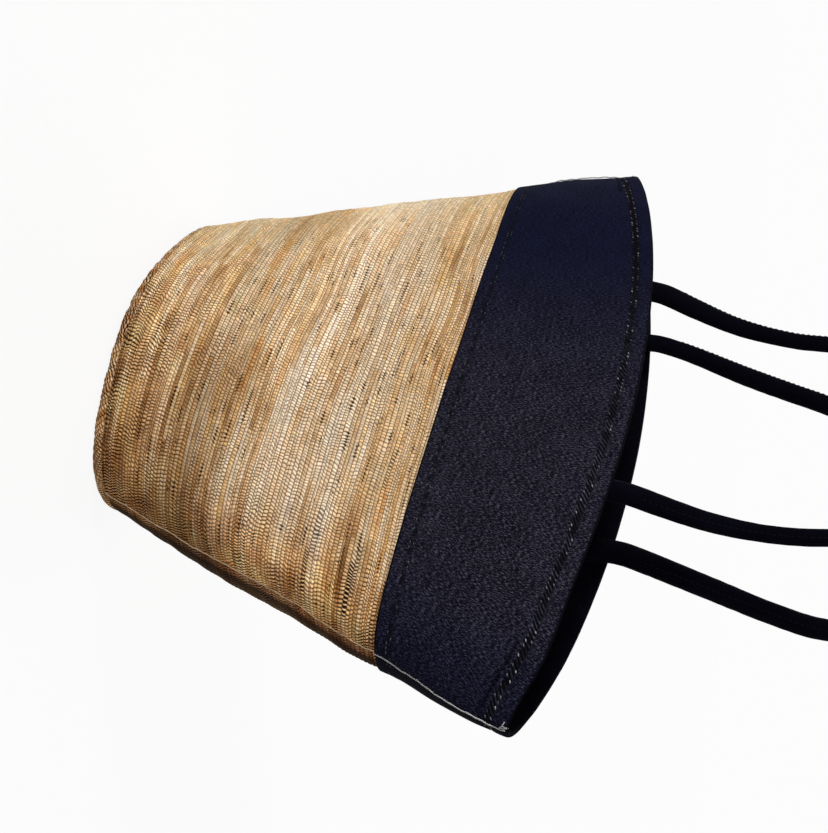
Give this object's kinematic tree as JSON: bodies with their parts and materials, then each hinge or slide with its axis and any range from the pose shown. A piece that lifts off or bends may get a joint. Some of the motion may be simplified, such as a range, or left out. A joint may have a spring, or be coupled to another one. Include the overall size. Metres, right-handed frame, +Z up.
{
  "type": "banana fiber bag",
  "caption": "Fan-shaped hand bag of woven banana-fibre cloth on an oval base, with a dark cotton yoke, an open mouth and tubular cotton handles that swing.",
  "frame": {"origin": "middle of the base's underside, on the surface that the bag stands on", "axes": "+Z up; -Y is the front, which the picture shows; +X is the bag's right side seam as the bag is looked at from the front"},
  "size_m": [0.4704, 0.1551, 0.5059],
  "materials": {
    "fibre_cloth": "coarse hand-woven banana-fibre cloth with streaky weft ribs, matt with a faint sheen",
    "navy_cotton": "fine navy cotton canvas, matt, with pale specks",
    "lining_cotton": "plain dark cotton, matt",
    "binding_tape": "ribbed cotton tape, matt",
    "stiff_board": "plain pressed board",
    "handle_cotton": "nearly black cotton sewn into a tube, matt with a soft sheen",
    "cord_filler": "unbleached cotton cord"
  },
  "bodies": {
    "bag": {"front_fibre_panel": "fibre_cloth", "back_fibre_panel": "fibre_cloth", "fibre_base": "fibre_cloth", "front_yoke": "navy_cotton", "back_yoke": "navy_cotton", "front_yoke_facing": "navy_cotton", "back_yoke_facing": "navy_cotton", "front_lining": "lining_cotton", "back_lining": "lining_cotton", "base_lining": "lining_cotton", "base_board": "stiff_board", "right_seam_binding": "binding_tape", "left_seam_binding": "binding_tape", "front_handle_right_end": "handle_cotton", "front_handle_left_end": "handle_cotton", "back_handle_right_end": "handle_cotton", "back_handle_left_end": "handle_cotton"},
    "front_handle": {"front_handle_cover": "handle_cotton", "front_handle_cord": "cord_filler"},
    "back_handle": {"back_handle_cover": "handle_cotton", "back_handle_cord": "cord_filler"}
  },
  "joints": [
    {"name": "front_handle_swing", "type": "hinge", "parent": "bag", "child": "front_handle", "pos_m": [0, -0.0216, 0.3057], "axis": [1, 0, 0], "range_deg": [-12, 105]},
    {"name": "back_handle_swing", "type": "hinge", "parent": "bag", "child": "back_handle", "pos_m": [0, 0.0224, 0.3053], "axis": [-1, 0, 0], "range_deg": [-12, 65]}
  ]
}
